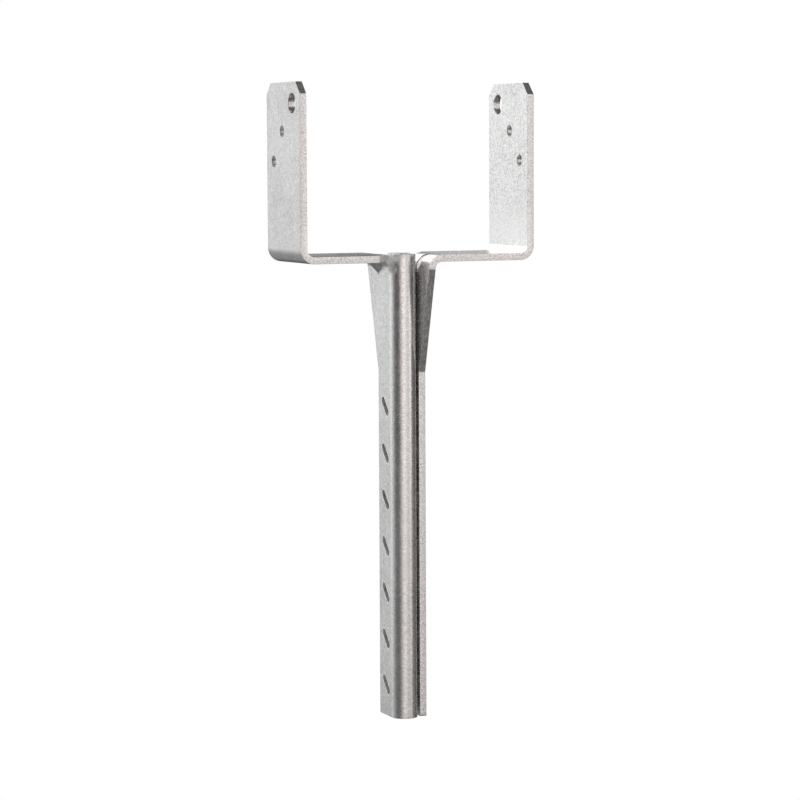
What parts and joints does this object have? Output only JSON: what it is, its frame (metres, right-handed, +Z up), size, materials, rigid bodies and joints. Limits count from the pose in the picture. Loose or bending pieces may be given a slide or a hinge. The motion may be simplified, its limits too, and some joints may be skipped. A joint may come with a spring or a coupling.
{
  "type": "post anchor spike",
  "caption": "Galvanised U-shaped fork with a flat seat and drilled cheeks for a timber post, on a slotted spike of hooked and rolled plate that is set in concrete.",
  "frame": {"origin": "centre of the fork's seat, on the plane that the post stands on", "axes": "+Z up along the spike, X across the fork from cheek to cheek, Y along the width of the plate; the part maps onto itself when turned half a turn about Z"},
  "size_m": [0.1494, 0.0538, 0.3795],
  "materials": {
    "galvanised_plate": "hot-dip galvanised, pale grey, satin, with a fine grain",
    "galvanised_weld": "galvanised weld bead, duller and rippled"
  },
  "bodies": {
    "root": {"left_half": "galvanised_plate", "right_half": "galvanised_plate", "top_seam_weld": "galvanised_weld", "bottom_seam_weld": "galvanised_weld"}
  },
  "joints": []
}
